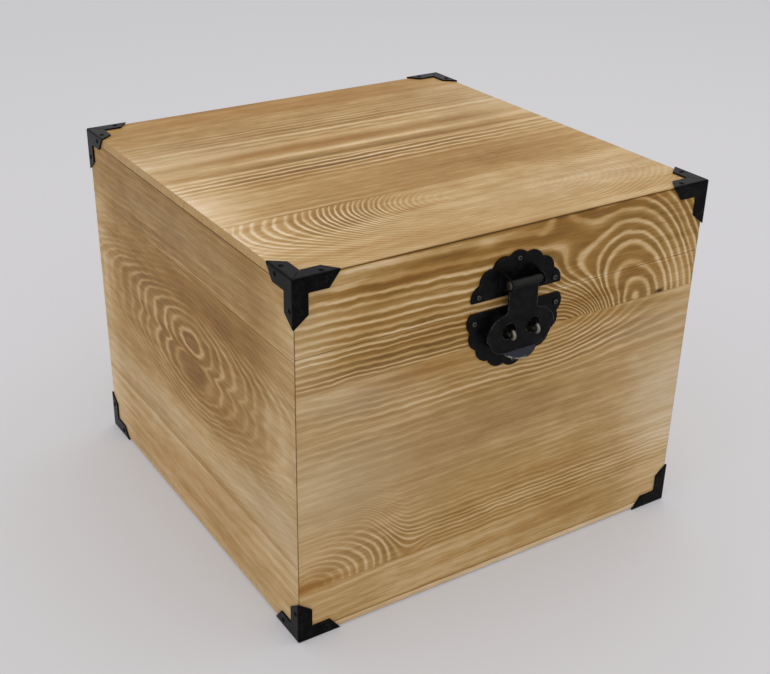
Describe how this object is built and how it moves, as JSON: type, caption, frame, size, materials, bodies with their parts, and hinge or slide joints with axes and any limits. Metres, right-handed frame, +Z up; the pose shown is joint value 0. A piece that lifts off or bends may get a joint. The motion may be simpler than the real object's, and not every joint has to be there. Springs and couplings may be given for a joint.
{
  "type": "trunk",
  "caption": "Near-cubic wooden trunk with a hinged lid, black sheet-metal corner brackets and a scalloped two-plate hasp with a swinging flap.",
  "frame": {"origin": "on the floor, in the middle of the whole footprint, which reaches from the hasp's eyes to the hinge barrels", "axes": "+X along the front to the right, +Y from the front to the back, +Z up"},
  "size_m": [0.3018, 0.3168, 0.2435],
  "materials": {
    "toasted_wood": "light softwood boards, toasted and brushed to bring out the grain, satin wax",
    "panel_wood": "thin plain softwood sheet, untreated",
    "black_metal": "matte black coated steel sheet, lightly rubbed at the edges",
    "dark_bronze": "steel with a dark bronze finish, rubbed bright on the high spots"
  },
  "bodies": {
    "base": {"base_front_wall": "toasted_wood", "base_right_wall": "toasted_wood", "base_back_wall": "toasted_wood", "base_left_wall": "toasted_wood", "base_bottom_panel": "panel_wood", "bracket_lower_front_left": "black_metal", "bracket_lower_front_right": "black_metal", "bracket_lower_back_left": "black_metal", "bracket_lower_back_right": "black_metal", "hasp_lower_plate": "black_metal", "hasp_eye_left": "dark_bronze", "hasp_eye_right": "dark_bronze", "hasp_lower_nail_left": "dark_bronze", "hasp_lower_nail_bottom": "dark_bronze", "hasp_lower_nail_right": "dark_bronze", "hinge_left_base_leaf": "black_metal", "hinge_left_pin": "dark_bronze", "hinge_left_base_left_screw": "dark_bronze", "hinge_left_base_right_screw": "dark_bronze", "hinge_right_base_leaf": "black_metal", "hinge_right_pin": "dark_bronze", "hinge_right_base_left_screw": "dark_bronze", "hinge_right_base_right_screw": "dark_bronze"},
    "lid": {"lid_front_rail": "toasted_wood", "lid_right_rail": "toasted_wood", "lid_back_rail": "toasted_wood", "lid_left_rail": "toasted_wood", "lid_top_panel": "toasted_wood", "bracket_upper_front_left": "black_metal", "bracket_upper_front_right": "black_metal", "bracket_upper_back_left": "black_metal", "bracket_upper_back_right": "black_metal", "hasp_upper_plate": "black_metal", "hasp_pin": "dark_bronze", "hasp_upper_nail_left": "dark_bronze", "hasp_upper_nail_top": "dark_bronze", "hasp_upper_nail_right": "dark_bronze", "hinge_left_lid_leaf": "black_metal", "hinge_left_lid_left_screw": "dark_bronze", "hinge_left_lid_right_screw": "dark_bronze", "hinge_right_lid_leaf": "black_metal", "hinge_right_lid_left_screw": "dark_bronze", "hinge_right_lid_right_screw": "dark_bronze"},
    "hasp": {"hasp_flap": "black_metal"}
  },
  "joints": [
    {"name": "lid_hinge", "type": "hinge", "parent": "base", "child": "lid", "pos_m": [0, 0.15625, 0.19445], "axis": [-1, 0, 0], "range_deg": [0, 175]},
    {"name": "hasp_hinge", "type": "hinge", "parent": "lid", "child": "hasp", "pos_m": [0, -0.1535, 0.2103], "axis": [-1, 0, 0], "range_deg": [0, 180]}
  ]
}
